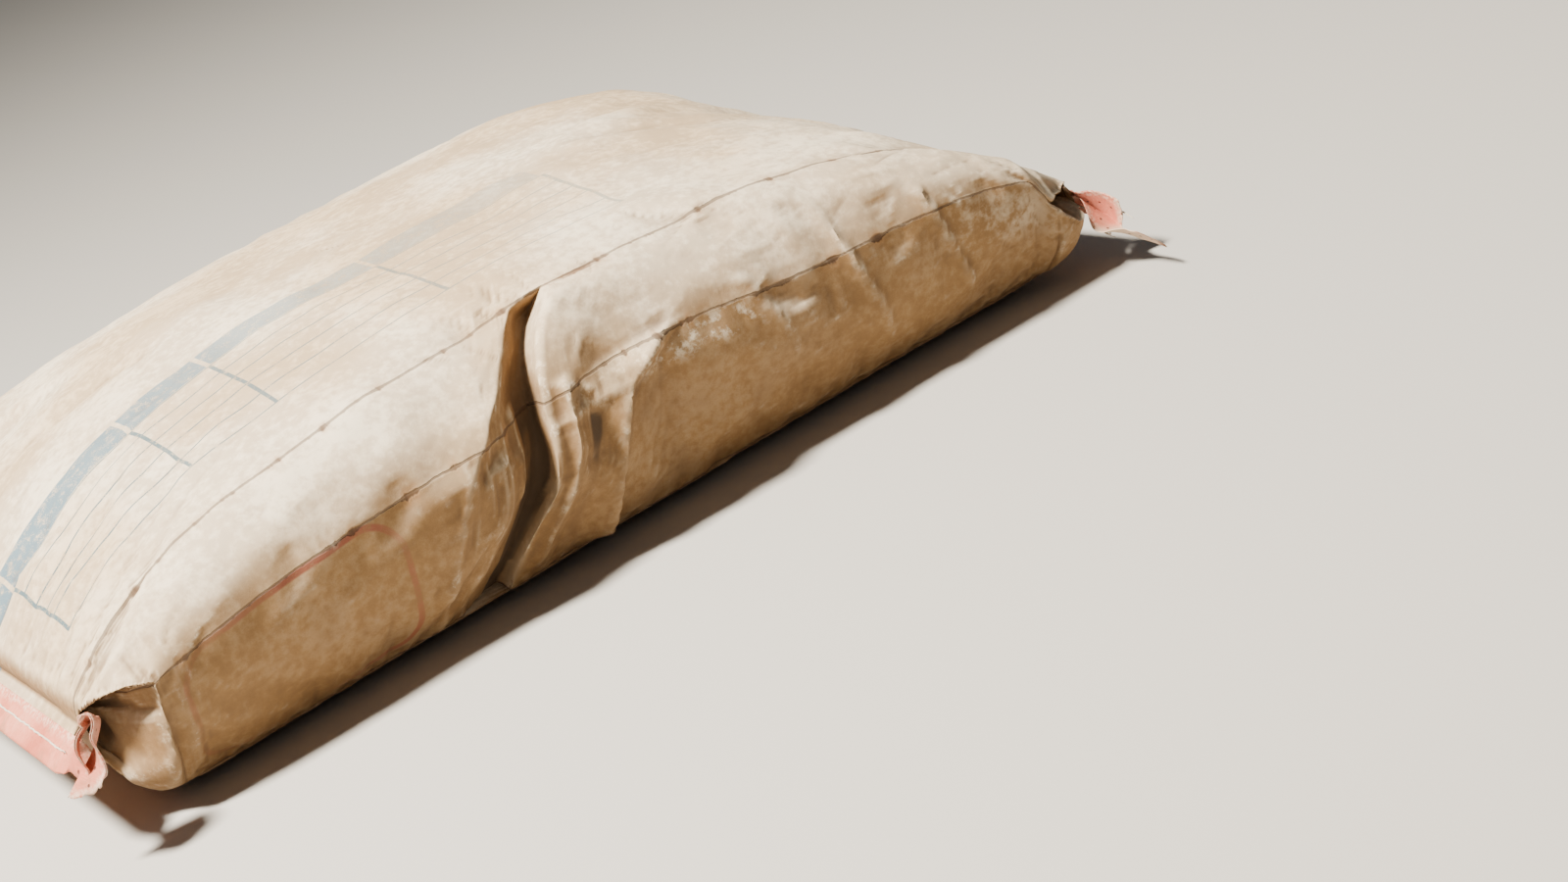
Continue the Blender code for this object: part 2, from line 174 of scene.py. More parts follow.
# The near gusset's lighter folds: their widths towards the foot and the head, their height, and
# points as for the main buckle
LIGHT_FOLDS = (
    # The second fold, on the head side of the buckle
    (0.026, 0.008, 0.012, (36, -62), (22, -69), (5, -78), (-4, -83), (-12, -93), (-19, -106),
     (-30, -133), (-38, -170)),
    # The ridge beside the buckle
    (0.006, 0.009, 0.0055, (-36, -58), (-38, -69), (-41, -79), (-44, -92), (-52, -110),
     (-66, -128), (-82, -160)),
    # The crease on its foot side
    (0.02, 0.009, 0.005, (-66, -38), (-84, -54), (-96, -67), (-111, -79), (-118, -89),
     (-125, -101), (-136, -124), (-148, -172)),
    # The short crease in its wall
    (0.006, 0.006, 0.0045, (-66, -58), (-70, -74), (-73, -92), (-82, -112)),
    # Three creases towards the head
    (0.009, 0.004, 0.0036, (150, -20), (151, -34), (154, -63), (161, -85), (170, -112), (176, -140)),
    (0.011, 0.003, 0.0036, (214, -40), (220, -68), (228, -88), (238, -110), (246, -135)),
    (0.012, 0.005, 0.0022, (88, -52), (92, -68), (103, -92), (108, -120)),
)

# Short creases: how many, and the corners of the area of paper that they lie in, in millimetres
WHOLE_PAPER = ((-340, -170), (340, 420))
CRUMPLED_AREAS = (
    (24, (-60, -130), (70, -50)), (36, (200, -120), (335, 10)), (26, (300, 0), (345, 420)),
    (26, (-345, 0), (-290, 420)), (10, (80, -80), (200, -20)),
)

# The paper as cloth, for its settling, and how far it may move
SETTLE_CAP = 0.006
SETTLE_FRAMES = 20
PAPER_CLOTH = {
    "quality": 6, "mass": 0.35, "tension_stiffness": 30, "compression_stiffness": 30,
    "shear_stiffness": 15, "bending_stiffness": 1.5, "air_damping": 1,
    "vertex_group_mass": "held", "shrink_min": -0.014, "shrink_max": -0.014,
    "use_pressure": True, "uniform_pressure_force": 4,
}

# Camera: azimuth, elevation and roll, the point it is placed from, and its place ahead of that
# point, to the right and up in the picture
CAMERA_ANGLES = (27.75, 20.53, -20.48)
CAMERA_CENTRE = (0, 0, 0.07)
CAMERA_OFFSET = (-1.5941, 0.2072, -0.0439)
CAMERA_LENS = 58.5

# Lamps: place, width, power and colour
LAMPS = {
    "key": ((-1.25, -0.3, 2.35), 0.45, 352, (1, 0.93, 0.81)),
    "fill": ((1.6, -1.8, 1), 1.5, 2, (1, 0.93, 0.84)),
}
FLOOR_REACH = 12

TURN = 2 * pi


def part_way(value, start, end):
    """The share of the way from start to end, kept from 0 to 1."""
    return np.clip((value - start) / (end - start), 0, 1)


def ease(value, start, end):
    """0 at start and 1 at end, where start may be the greater: 3 p^2 - 2 p^3 of the share p."""
    part = part_way(value, start, end)
    return part * part * (3 - 2 * part)


def unit(vectors):
    return vectors / np.maximum(np.linalg.norm(vectors, axis=-1, keepdims=True), 1e-12)


def bell(distance, width):
    """1 at no distance, falling off as the normal curve does."""
    return np.exp(-((distance / width) ** 2))


def run_along(path):
    """The distance along a path at each of its points."""
    return np.concatenate([[0], np.cumsum(np.linalg.norm(np.diff(path, axis=0), axis=1))])


def add(name, data):
    item = bpy.data.objects.new(name, data)
    bpy.context.scene.collection.objects.link(item)
    return item


def dress(piece, node, finish):
    """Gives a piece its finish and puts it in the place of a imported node."""
    piece.data.materials.append(finish)
    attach(piece, "root")
    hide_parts(node)


def surface(name, points, paper, turn=None, capped=False, marks=None):
    """A mesh over a grid of points (rows, columns, 3), with its paper coordinates as its UV map.

    turn joins the last column to the first, where the paper's second coordinate has grown by
    turn. capped closes the first and last rows with one flat face each. marks are more numbers
    for each point, by attribute name.
    """
    rows, columns, _ = points.shape
    grid = index = np.arange(rows * columns).reshape(rows, columns)
    if turn is not None:
        grid = np.hstack([index, index[:, :1]])
        paper = np.hstack([paper, paper[:, :1] + [0, turn]])
    corners, places = (
        [table[:-1, :-1], table[1:, :-1], table[1:, 1:], table[:-1, 1:]] for table in (grid, paper)
    )
    faces = np.stack(corners, axis=-1).reshape(-1, 4).tolist()
    places = np.stack(places, axis=-2).reshape(-1, 2)
    if capped:
        faces += [index[0].tolist(), index[-1, ::-1].tolist()]
        places = np.vstack([places, paper[0, :columns], paper[-1, :columns][::-1]])
    mesh = bpy.data.meshes.new(name)
    mesh.from_pydata(points.reshape(-1, 3), [], faces)
    mesh.uv_layers.new(name="paper").data.foreach_set("uv", places.astype(np.float32).ravel())
    for mark, values in (marks or {}).items():
        attribute = mesh.attributes.new(mark, "FLOAT", "POINT")
        attribute.data.foreach_set("value", values.astype(np.float32).ravel())
    mesh.shade_smooth()
    return add(name, mesh)


def panel_columns():
    """The panel of each column and its share across that panel.

    Columns crowd towards the near side's folds: the share runs as a power above 1 from a fold, or
    partly as an eased step between two.
    """
    share = {panel: np.arange(count) / count for panel, count in COLUMNS.items()}
    share[0] = share[0] ** 1.25
    share[3] = 1 - (1 - share[3]) ** 1.25
    for leg in (4, 5):
        share[leg] = 0.55 * share[leg] + 0.45 * ease(share[leg], 0, 1)
    return np.repeat(list(COLUMNS), list(COLUMNS.values())), np.concatenate(list(share.values()))


PANEL, SHARE = panel_columns()
LEGS = (
    hypot(GUSSET_REACH, UPPER_FOLD_HEIGHT - CENTRE_FOLD_HEIGHT),
    hypot(GUSSET_REACH, CENTRE_FOLD_HEIGHT - LOWER_FOLD_HEIGHT),
)
PANEL_WIDTHS = np.array([PANEL_WIDTH, *LEGS, PANEL_WIDTH, LEGS[1], LEGS[0]])
PANEL_STARTS = np.array([0, *np.cumsum(PANEL_WIDTHS[:3]), -LEGS[0] - LEGS[1], -LEGS[0]])
PERIMETER = PANEL_WIDTHS.sum()
ROUND = PANEL_STARTS[PANEL] + SHARE * PANEL_WIDTHS[PANEL]
CREST = int(np.argmin(np.abs(ROUND - 0.5 * PANEL_WIDTH)))


def by_end(x, values):
    return np.where(x >= 0, values["head"], values["foot"])


def rounded(excess):
    """What is above 0, with the turn at 0 rounded off as half of e + sqrt(e^2 + r^2)."""
    return 0.5 * (excess + np.sqrt(excess ** 2 + MOUTH_ROUNDING ** 2))


def filled_tube(x):
    """Points of the tube at stations x: four folds, with curved panels between them.

    s runs from 0 in the middle to 1 at a seam. The upper fold falls to it as (1 - s^p)^q, with p
    and q from FALL_POWERS, the lower fold rises as 1 - (1 - s^26)^0.5, and the centre fold goes
    there as s^4, or s^6 by the near side's head. The top is crowned as a parabola, the underside
    is flat with quarter-ellipse edges, and each gusset's centre fold passes inside the panels next
    to a seam, over a rounded lobe of the fill. On the near side each leg stays out as far as a
    slanting crease to the seam's corner, the folds stand higher beside the buckle, as a bell along
    the sack, and the centre fold dips at the head, where an ear of paper hangs over the pocket.
    """
    panel, share = (np.broadcast_to(table, x.shape) for table in (PANEL, SHARE))
    near = panel >= 4
    across = 2 * share - 1
    s = part_way(np.abs(x), 0, HALF_LENGTH)
    flat = s ** 4
    half = 0.5 * (PANEL_CHORD + (PANEL_WIDTH - PANEL_CHORD) * flat)

    # Heights of the folds and of the underside
    gap = 0.5 * FLAP_THICKNESS
    seam = by_end(x, SEAM_HEIGHTS)
    inner, outer = by_end(x[..., None], FALL_POWERS).transpose(2, 0, 1)
    upper = seam + gap + (UPPER_FOLD_HEIGHT - seam - gap) * (1 - s ** inner) ** outer
    at_x, reach_x, most = UPPER_FOLD_RISE
    beside = np.select([panel == 0, panel == 5], [np.clip(-across, 0, 1) ** 3, 1], 0)
    upper = upper + most * bell(x - at_x, reach_x) * beside
    lower = LOWER_FOLD_HEIGHT + (seam - gap - LOWER_FOLD_HEIGHT) * (1 - (1 - s ** 26) ** 0.5)
    at_x, reach_x, most, at_foot = CENTRE_FOLD_SHIFT
    shift = (most * bell(x - at_x, reach_x) + at_foot * ease(x, 0.1, -0.15)) * (1 - flat) * near
    start, ease_in, ease_out, depth = HEAD_DIP
    dip = ease(x, start, start + ease_in) * ease(x, HALF_LENGTH, HALF_LENGTH - ease_out)
    to_seam = s ** np.where((x > 0) & near, 6, 4)
    middle = CENTRE_FOLD_HEIGHT + (seam - CENTRE_FOLD_HEIGHT) * to_seam
    middle = middle + 0.8 * shift - depth * dip * near
    lifted = part_way(np.abs(x), UNDERSIDE_RISE_START, HALF_LENGTH)
    ground = (seam - gap) * (1 - (1 - lifted ** 3) ** 0.5)

    # The two broad panels
    edge = part_way(np.abs(across), UNDERSIDE_FLAT_SHARE, 1)
    top = upper + TOP_CROWN * (1 - s ** 5) * (1 - across ** 2)
    under = ground + (np.maximum(lower, ground) - ground) * (1 - np.sqrt(1 - edge ** 2))

    # The gussets' legs: out is the share across a leg towards the centre fold
    pocket = by_end(x, POCKET_LENGTHS)
    part = part_way(np.abs(x), HALF_LENGTH - pocket, HALF_LENGTH - POCKET_END_WALL)
    tuck = 1 - (1 - ease(part ** 0.7, 0, 1)) ** 1.6
    outward = GUSSET_REACH * (1 - 0.25 * flat) - 0.5 * shift
    out = np.where((panel == 1) | (panel == 4), share, 1 - share)
    swell = GUSSET_BULGE * (1 - tuck) * 4 * share * (1 - share)
    mouth, low_power, high_power = by_end(x[..., None], NEAR_MOUTHS).transpose(2, 0, 1)
    reach = (HALF_LENGTH - np.abs(x)) / mouth
    whole = np.clip(reach ** np.where(panel == 4, low_power, high_power), 0, 0.96)
    past = rounded((out - whole) / (1 - whole)) - rounded(-whole / (1 - whole)) * (1 - out)
    tucked = np.where(near, rounded(1 - reach) * past, tuck * out)
    lobe = by_end(x, POCKET_LOBES) * np.sin(pi * part ** 0.8) ** 0.8
    low = np.where(panel == 4, out ** 0.6, out)
    below = (4 * low * (1 - low)) ** 1.2 * lobe * (1 - 0.8 * whole * (panel == 4))
    leg_y = half + outward * out - (outward + POCKET_DEPTH) * tucked + swell
    leg_y = leg_y + np.where((panel == 2) | (panel == 4), below, 0)
    leg_top = upper + (middle - upper) * out + swell
    leg_low = lower + (middle - lower) * out - swell
    sides = half * across
    y = np.select([panel == 0, panel <= 2, panel == 3], [sides, leg_y, -sides], -leg_y)
    z = np.select([panel == 0, panel == 3, (panel == 1) | (panel == 5)], [top, under, leg_top], leg_low)
    return np.stack([x, y, z], axis=-1)


def flap_rows(end, distances):
    """Points of a flat sewn flap, from its root out: straight, drooping, as wide as the panel."""
    droop = radians(FLAP_DROOPS[end])
    half = 0.5 * PANEL_WIDTH
    across = half * (2 * SHARE - 1)
    y = np.select([PANEL == 0, PANEL <= 2, PANEL == 3], [across, half, -across], -half)
    first, last = FLAP_LEVELS[PANEL].T
    offset = (first + (last - first) * SHARE - 0.5) * FLAP_THICKNESS
    d = distances[:, None]
    x = HALF_LENGTH + d * cos(droop) + offset * sin(droop)
    z = SEAM_HEIGHTS[end] - d * sin(droop) + offset * cos(droop)
    return np.stack([SIDES[end] * x, np.broadcast_to(y, x.shape), z], axis=-1)


def curve(keys):
    """A smooth curve through keys, as a Catmull-Rom spline at even shares of its parameter."""
    keys = np.vstack([2 * keys[0] - keys[1], keys, 2 * keys[-1] - keys[-2]])
    share = np.linspace(0, len(keys) - 3, 160)
    first = np.minimum(share.astype(int), len(keys) - 4)
    t = (share - first)[:, None]
    a, b, c, d = (keys[first + place] for place in range(4))
    squared, cubed = 2 * a - 5 * b + 4 * c - d, 3 * b - a - 3 * c + d
    return 0.5 * (2 * b + (c - a) * t + squared * t ** 2 + cubed * t ** 3)


def body_stations():
    """Stations of the body's grid, which bend to follow the main buckle on the near side.

    They lie close together at the ends and the buckle. A station shifts at a column as the buckle
    does there from its middle, fading away with distance along the sack.
    """
    dense = np.linspace(-1, 1, 6001) * (HALF_LENGTH - 0.0006)
    from_buckle = np.abs(dense - BUCKLE_STATION)
    need = WIDE_STEP + (END_STEP - WIDE_STEP) * ease(np.abs(dense), 0.25, 0.29)
    need = np.minimum(need, BUCKLE_STEP + (WIDE_STEP - BUCKLE_STEP) * ease(from_buckle, 0.016, 0.116))
    count = np.concatenate([[0], np.cumsum(np.diff(dense) / need[1:])])
    steps = 2 * int(count[-1] / 2)
    stations = np.interp(np.linspace(0, count[-1], steps + 1), count, dense)[:, None]
    buckle = curve(MAIN_BUCKLE)[::-1]
    shift = np.interp(ROUND, buckle[:, 1], buckle[:, 0]) - BUCKLE_STATION
    shift *= ease(ROUND, -0.4, -0.22) * ease(ROUND, 0.2, 0.05)
    return stations + shift * ease(np.abs(stations - BUCKLE_STATION), 0.19, 0)


def heap_up(points):
    """Lifts the top in a round hill where the fill has heaped up, as a bell of the distance."""
    x, y, z = points[..., 0], points[..., 1], points[..., 2]
    at_x, at_y, radius, height = HEAP
    hill = height * np.exp(-((x - at_x) ** 2 + (y - at_y) ** 2) / radius ** 2)
    points[..., 2] = z + hill * ease(z, CENTRE_FOLD_HEIGHT, UPPER_FOLD_HEIGHT)
    return points


def across_fold(along, around, keys):
    """Signed distance from a fold that runs round the sack, and the share along the fold.

    The fold's place along the sack is read off its curve at each point's place round it.
    """
    line = curve(keys)
    line = line[np.argsort(line[:, 1])]
    place = np.interp(around, line[:, 1], line[:, 0])
    slope = np.interp(around, line[:, 1], np.gradient(line[:, 0], line[:, 1]))
    share = (line[-1, 1] - around) / (line[-1, 1] - line[0, 1])
    return (along - place) / np.sqrt(1 + slope ** 2), share


def press_buckles(points, along, around):
    """Presses the folds into the near gusset, each by its profile times a fade along it.

    The main buckle is a deep groove whose head side stands proud and leans over it. The others
    are sharp creases: 1 on the line, falling as the 1.5th power to 0 at their width on either side.
    """
    outward = [np.zeros_like(along), points[..., 1], 0.9 * (points[..., 2] - 0.08)]
    outward = unit(np.stack(outward, axis=-1))
    near = ease(around, 0.1, 0.05) * ease(around, -0.26, -0.2)
    distance, share = across_fold(along, around, MAIN_BUCKLE)
    distance /= 1 + 0.45 * ease(around, -0.03, -0.065) * (distance < 0)
    depth = near * ease(around, 0.003, -0.013) * ease(share, 1, 0.9)
    depth *= 1 - 0.5 * ease(around, -0.095, -0.175)
    across, out, lean = BUCKLE_SECTION.T
    rise = np.interp(distance, across, out) * depth
    slide = np.interp(distance, across, lean) * depth * ease(around, 0.004, -0.03)
    for footward, headward, height, *keys in LIGHT_FOLDS:
        distance, share = across_fold(along, around, in_metres(*keys))
        width = np.where(distance < 0, footward, headward)
        profile = np.clip(1 - np.abs(distance) / width, 0, 1) ** 1.5
        rise = rise + near * height * profile * ease(share, 0, 0.12) * ease(share, 1, 0.85)
    points = points + outward * rise[..., None]
    points[..., 0] += slide
    return points


def handling_creases(along, around, count, seed, length, width, height, area=WHOLE_PAPER):
    """Sum of many straight creases at random places and angles, each faded along its length."""
    rng = np.random.default_rng(seed)
    places = rng.uniform(*in_metres(*area), (count, 2))
    angles = rng.uniform(0, pi, count)
    lengths = length * rng.uniform(0.5, 1.5, count)
    heights = height * rng.uniform(-1, 1, count)
    total = np.zeros_like(along)
    for (u, v), angle, long, high in zip(places, angles, lengths, heights):
        du, dv = along - u, around - v
        run = du * cos(angle) + dv * sin(angle)
        off = dv * cos(angle) - du * sin(angle)
        total += high * bell(run, long) * np.exp(-np.abs(off) / width)
    return total


def rolling(along, around, size, seed, waves=24):
    """Low rolling relief of a given size of lump: a sum of sine waves in random directions."""
    rng = np.random.default_rng(seed)
    angles = rng.uniform(0, TURN, waves)
    lengths = size * rng.uniform(0.7, 1.8, waves)
    phases = rng.uniform(0, TURN, waves)
    total = np.zeros_like(along)
    for angle, length, phase in zip(angles, lengths, phases):
        run = along * cos(angle) + around * sin(angle)
        total += np.sin(TURN / length * run + phase)
    return total / sqrt(waves)


def surface_normals(points):
    """Outward unit normals of the closed grid, from the steps along it and round it."""
    wrapped = np.concatenate([points[:, -1:], points, points[:, :1]], axis=1)
    return unit(np.cross(np.gradient(points, axis=0), 0.5 * (wrapped[:, 2:] - wrapped[:, :-2])))


def seam_puckers(points):
    """Sharp pleats from each sewn end, as e^-(distance / width) x e^-(reach / length) each."""
    x, y = points[..., 0], points[..., 1]
    reach = HALF_LENGTH - np.abs(x)
    rng = np.random.default_rng(11)
    total = np.zeros_like(y)
    for side in (-1, 1):
        for place in np.sort(rng.uniform(-0.2, 0.2, 26)):
            width, long = rng.uniform(0.004, 0.01), rng.uniform(0.018, 0.07)
            height, lean = rng.uniform(-0.0022, 0.0022), rng.uniform(-0.25, 0.25)
            across = np.abs(y - place - lean * reach)
            total += height * np.exp(-across / width - np.abs(reach) / long) * (x * side > 0)
    return total


def between_rows(grid, rows, columns):
    """A grid's values at rows and columns that lie between its own, wrapping round in columns."""
    grid = np.concatenate([grid, grid[:, :1]], axis=1)
    row, column = np.floor(rows).astype(int), np.floor(columns).astype(int)
    row = np.minimum(row, grid.shape[0] - 2)
    down, right = (rows - row)[:, None, None], (columns - column)[None, :, None]
    upper, lower = (
        grid[line][:, column] * (1 - right) + grid[line][:, column + 1] * right
        for line in (row, row + 1)
    )
    return upper * (1 - down) + lower * down


def broad_part(grid, passes):
    """A grid's broad part: passes of weights 1, 2, 1 along the rows and round the columns."""
    for _ in range(passes):
        wide = np.concatenate([grid[:1], grid, grid[-1:]])
        grid = 0.25 * (wide[:-2] + 2 * grid + wide[2:])
        grid = 0.25 * (np.roll(grid, 1, axis=1) + 2 * grid + np.roll(grid, -1, axis=1))
    return grid


def settle_paper(points):
    """How far each point of the filled tube moves when its paper settles, by cloth simulation.

    Every second row and column makes a tube of slightly too large paper, under pressure from the
    fill and held at its seams and on the ground. The movement loses its broad part, so that the
    tube keeps its size, is capped, and is carried back to all the points between.
    """
    rows, columns, _ = points.shape
    coarse = points[::2, ::2]
    piece = surface("settling_paper", coarse, np.zeros(coarse.shape[:2] + (2,)), turn=0)
    held = ease(coarse[..., 2], 0.012, 0.006)
    held[:2] = held[-2:] = 1
    grip = piece.vertex_groups.new(name="held")
    for weight in (0.25, 0.5, 0.75, 1):
        chosen = np.flatnonzero(np.abs(held.ravel() - weight) <= 0.125)
        grip.add(chosen.tolist(), weight, "REPLACE")
    cloth = piece.modifiers.new("settle", "CLOTH")
    for setting, value in PAPER_CLOTH.items():
        setattr(cloth.settings, setting, value)
    cloth.settings.effector_weights.gravity = 0
    cloth.collision_settings.use_collision = False
    for moment in range(1, SETTLE_FRAMES + 1):
        bpy.context.scene.frame_set(moment)
    settled = piece.evaluated_get(bpy.context.evaluated_depsgraph_get())
    flat = np.empty(coarse.size, np.float32)
    settled.to_mesh().vertices.foreach_get("co", flat)
    move = flat.reshape(coarse.shape) - coarse
    settled.to_mesh_clear()
    bpy.data.objects.remove(piece)
    bpy.context.scene.frame_set(1)
    move -= broad_part(move, 160)
    far = np.linalg.norm(move, axis=-1, keepdims=True)
    move *= np.tanh(far / SETTLE_CAP) * SETTLE_CAP / np.maximum(far, 1e-9)
    return between_rows(move, np.arange(rows) / 2, np.arange(columns) / 2)


def sack_grid():
    """Points and paper coordinates of the whole sack, from the foot flap's edge to the head's.

    The settled tube and its flaps get their buckles, and fine relief along their normals, which
    fades at the ground and the seams.
    """
    body = heap_up(filled_tube(body_stations()))
    body = body + settle_paper(body)
    distances = np.linspace(0, FLAP_LENGTH, FLAP_ROWS)
    foot, head = (flap_rows(end, distances) for end in ("foot", "head"))
    points = np.concatenate([foot[::-1], body, head])
    crest = points[:, CREST]
    stretch = run_along(crest)
    stretch -= np.interp(0, crest[:, 0], stretch)
    along = np.interp(points[..., 0], crest[:, 0], stretch)
    around = np.broadcast_to(ROUND, along.shape)
    points = press_buckles(points, along, around)
    from_middle = np.abs(points[..., 0])
    loose = ease(points[..., 2], 0.004, 0.034) * ease(from_middle, HALF_LENGTH + 0.004, HALF_LENGTH - 0.008)
    relief = 0.0009 * rolling(along, around, 0.11, 5) + 0.0004 * rolling(along, around, 0.035, 6)
    relief += handling_creases(along, around, 90, 7, 0.03, 0.006, 0.0012)
    relief += handling_creases(along, around, 60, 8, 0.014, 0.003, 0.0007)
    for seed, (count, *area) in enumerate(CRUMPLED_AREAS, 40):
        relief += handling_creases(along, around, count, seed, 0.014, 0.0028, 0.0016, area)
    relief += seam_puckers(points)
    points = points + surface_normals(points) * (relief * loose)[..., None]
    points[..., 2] = np.maximum(points[..., 2], 0)
    return points, np.stack([along, around], axis=-1)


def bends(points, reach):
    """How sharply the surface bends at each point, over a reach of rows and columns, per metre.

    It is the mean step to the four points a reach away, along the normal, over half the square of
    its length: positive in a hollow and negative on a ridge.
    """
    rows = np.arange(len(points))
    neighbours = (
        points[np.maximum(rows - reach, 0)], points[np.minimum(rows + reach, len(points) - 1)],
        np.roll(points, reach, axis=1), np.roll(points, -reach, axis=1),
    )
    normals = surface_normals(points)
    total = np.zeros(points.shape[:2])
    for beside in neighbours:
        move = beside - points
        total += np.sum(move * normals, axis=-1) / np.maximum(np.sum(move ** 2, axis=-1), 1e-8)
    return 0.5 * total


def make_sack():
    """The filled sack, with marks of how its paper bends and faces, for its finish."""
    points, paper = sack_grid()
    bend = 0.5 * (bends(points, 1) + bends(points, 3))
    marks = {
        "deep": ease(bends(points, 10), 0, 28),
        "ridge": ease(-bend, 0, 90),
        "hollow": ease(bend, 0, 90),
        "upward": surface_normals(points)[..., 2],
    }
    sack = surface("filled_sack", points, paper, turn=PERIMETER, capped=True, marks=marks)
    sack.data.set_sharp_from_angle(angle=radians(60))
    dress(sack, "sack", paper_finish())


def tail_frames(tail, corner, corner_width):
    """Frames along a tail, root to tip: fold-edge path, tape direction, width and leg swing.

    Direction and width pass smoothly from the corner's to the ones named for the tail, and its
    fold edge is the running sum of the directions.
    """
    length, spread, directions, widths = TAILS[tail]
    side = -1 if tail.endswith("near") else 1
    directions = np.array([(0, side, 0), *directions])
    widths = np.array([corner_width, *widths])
    share = np.linspace(0, 1, TAIL_STEPS + 1)
    last = len(widths) - 1
    bent = last * part_way(share, TAIL_STRAIGHT_SHARE, 1)[:, None]
    weights = ease(np.abs(bent - np.arange(last + 1)), 1, 0)
    direction = unit(weights @ directions)
    width = weights @ widths
    width = unit(width - direction * np.sum(width * direction, axis=1, keepdims=True))
    moves = 0.5 * (direction[1:] + direction[:-1]) * (length / TAIL_STEPS)
    path = corner + np.vstack([np.zeros((1, 3)), np.cumsum(moves, axis=0)])
    return path, direction * side, width, radians(spread) * ease(share, 0, 0.5)


def tape_frames(end):
    """Frames along a whole tape by its length, from the far tail's tip to the near tail's tip."""
    droop = radians(FLAP_DROOPS[end])
    inward = np.array([-SIDES[end] * cos(droop), 0, sin(droop)])
    root = np.array([SIDES[end] * HALF_LENGTH, 0, SEAM_HEIGHTS[end]])
    along_y = np.array([0, 1, 0])
    edge = np.linspace(0.5, -0.5, SEAM_STEPS)[:, None] * PANEL_WIDTH * along_y
    edge = root - inward * (FLAP_LENGTH + TAPE_EDGE_GAP) + edge
    far = tail_frames(end + "_far", edge[0], inward)
    near = tail_frames(end + "_near", edge[-1], inward)
    seam = (edge, *np.broadcast_arrays(along_y, inward, edge)[:2], np.zeros(SEAM_STEPS))
    path, along, width, swing = (
        np.concatenate([first[:0:-1], straight, last[1:]]) for first, straight, last in zip(far, seam, near)
    )
    return run_along(path), path, width, np.cross(along, width) * SIDES[end], swing


def frames_at(frames, lengths):
    """A tape's path, width, normal and leg swing at any lengths along it."""
    marks, *tables, swing = frames
    parts = (
        np.stack([np.interp(lengths, marks, column) for column in table.T], axis=-1) for table in tables
    )
    return (*parts, np.interp(lengths, marks, swing))


def tape_point(frames, lengths, inset, offset, turn):
    """Points of the tape at a turn round its fold edge and an inset from there along its leg.

    The turn runs from 1 on the upper leg, round the fold's half circle, to -1 on the lower leg.
    Either leg swings out by the frame's angle. The offset is the distance from the leg's own
    mid-plane, or the half circle's radius.
    """
    path, width, normal, swing = frames_at(frames, lengths)
    angle = (turn * (0.5 * pi - swing))[..., None]
    leg = width * np.abs(np.sin(angle)) + normal * np.sign(angle) * np.cos(angle)
    away = normal * np.sin(angle) - width * np.cos(angle)
    return path + leg * inset[..., None] + away * offset[..., None]


def gathers(lengths, seed, count):
    """Uneven ripples along a strip: a sum of short sine waves, from about -1 to 1."""
    rng = np.random.default_rng(seed)
    total = np.zeros_like(lengths)
    for wave in rng.uniform(0.006, 0.04, count):
        total += rng.uniform(0.4, 1) * np.sin(TURN * lengths / wave + rng.uniform(0, 6.28))
    return total / sqrt(count)


